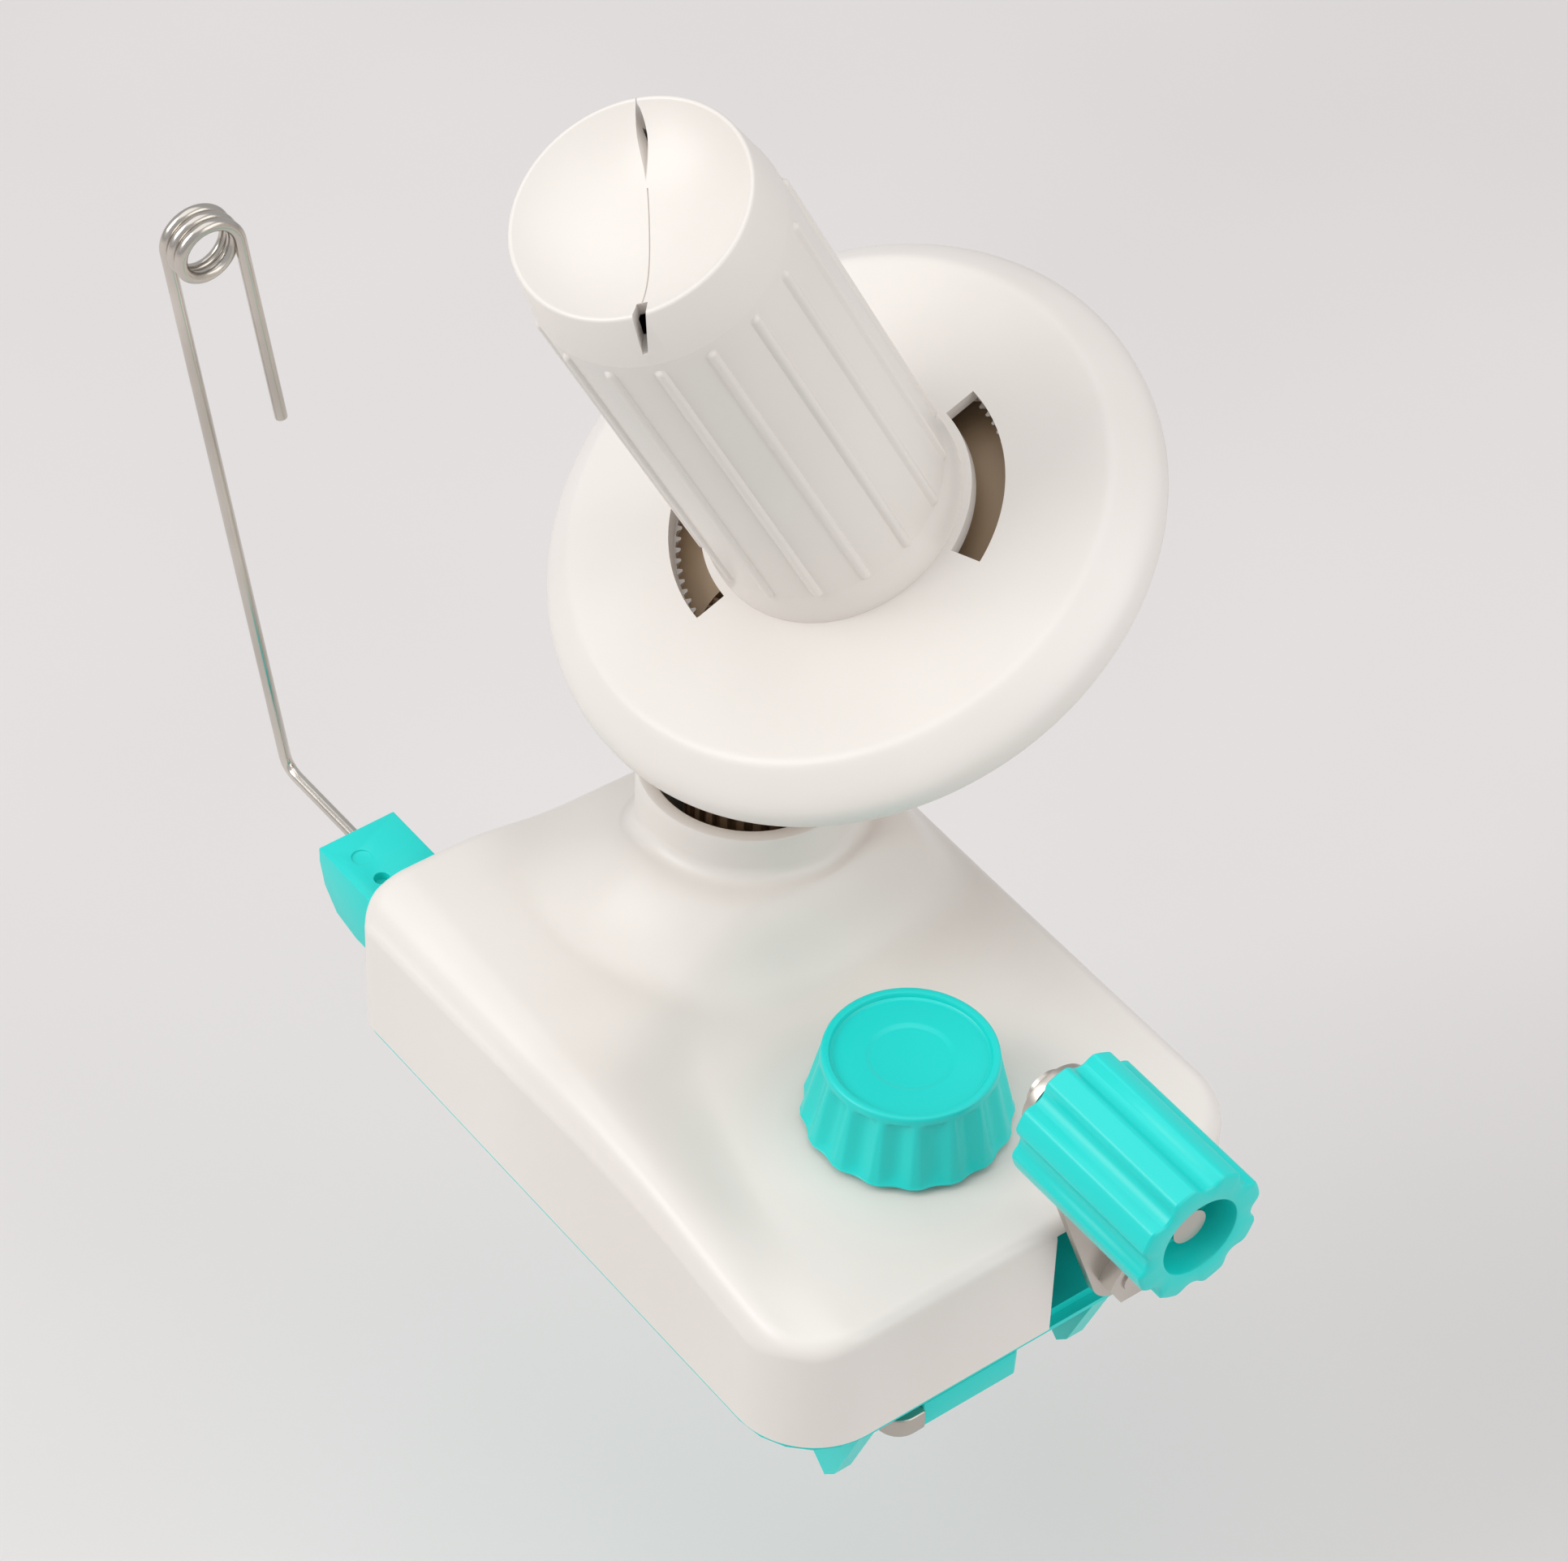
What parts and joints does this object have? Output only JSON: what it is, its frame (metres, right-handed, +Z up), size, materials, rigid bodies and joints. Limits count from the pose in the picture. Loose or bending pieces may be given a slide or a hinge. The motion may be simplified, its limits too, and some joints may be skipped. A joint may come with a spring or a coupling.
{
  "type": "yarn ball winder",
  "caption": "Hand-cranked yarn ball winder with a tilted spindle and disc, a wire yarn guide and a screw clamp for a table edge.",
  "frame": {"origin": "middle of the flat underside of the base plate, which rests on the table", "axes": "+Z up, -Y towards the crank end, +Y towards the yarn guide, +X to the right seen from the crank"},
  "size_m": [0.1571, 0.2292, 0.2526],
  "materials": {
    "white_plastic": "satin moulded",
    "teal_plastic": "satin moulded",
    "steel": "bright drawn",
    "nylon": "matte moulded",
    "brass": "plain"
  },
  "bodies": {
    "frame": {"upper_shell": "white_plastic", "base_plate": "teal_plastic", "base_screws": "steel", "centre_post": "steel", "sun_gear": "nylon", "sun_screw": "steel", "thrust_washer": "steel", "crank_bushes": "brass", "knob_washer": "steel", "guide_bracket": "teal_plastic", "bracket_screw": "steel", "guide_wire": "steel"},
    "crank": {"crank_axle": "steel", "crown_gear": "nylon", "crank_arm": "steel", "crank_nut": "steel", "axle_ring": "steel", "handle_screw": "steel", "handle_nut": "steel"},
    "handle": {"handle_grip": "teal_plastic"},
    "rotor": {"drive_sleeve": "nylon", "sleeve_bushes": "brass", "toothed_hub": "nylon", "rotor_housing": "nylon", "housing_screws": "steel", "spindle_axle": "steel", "spindle_washer": "steel", "spindle_screw": "steel"},
    "spindle": {"winding_disc": "white_plastic", "ring_gear": "white_plastic", "spindle_tube": "white_plastic", "spindle_bushes": "brass", "spindle_cup": "white_plastic"},
    "knob": {"clamp_knob": "teal_plastic", "clamp_bolt": "steel"},
    "jaw": {"clamp_jaw": "steel", "jaw_cover": "teal_plastic", "jaw_nut": "steel"}
  },
  "joints": [
    {"name": "crank_turn", "type": "hinge", "parent": "frame", "child": "crank", "pos_m": [0.017, -0.05, 0.0175], "axis": [0, 1, 0], "continuous": true},
    {"name": "handle_spin", "type": "hinge", "parent": "crank", "child": "handle", "pos_m": [-0.00224, -0.09, 0.07433], "axis": [0, 1, 0], "continuous": true},
    {"name": "rotor_turn", "type": "hinge", "parent": "frame", "child": "rotor", "pos_m": [0.017, 0.0394, 0.05], "axis": [0, 0, 1], "continuous": true},
    {"name": "spindle_spin", "type": "hinge", "parent": "rotor", "child": "spindle", "pos_m": [0.017, 0.0394, 0.146], "axis": [-0.4586, 0, 0.8886], "continuous": true},
    {"name": "knob_turn", "type": "hinge", "parent": "frame", "child": "knob", "pos_m": [0, -0.033, 0], "axis": [0, 0, -1], "range_deg": [-361, 2521]},
    {"name": "jaw_travel", "type": "slide", "parent": "frame", "child": "jaw", "axis": [0, 0, 1], "range_m": [-0.003, 0.021]}
  ],
  "couplings": [
    {"joint": "rotor_turn", "follows": "crank_turn", "ratio": 2.3333},
    {"joint": "spindle_spin", "follows": "crank_turn", "ratio": -0.63636},
    {"joint": "knob_turn", "follows": "jaw_travel", "rad_per_m": 2094.4}
  ]
}
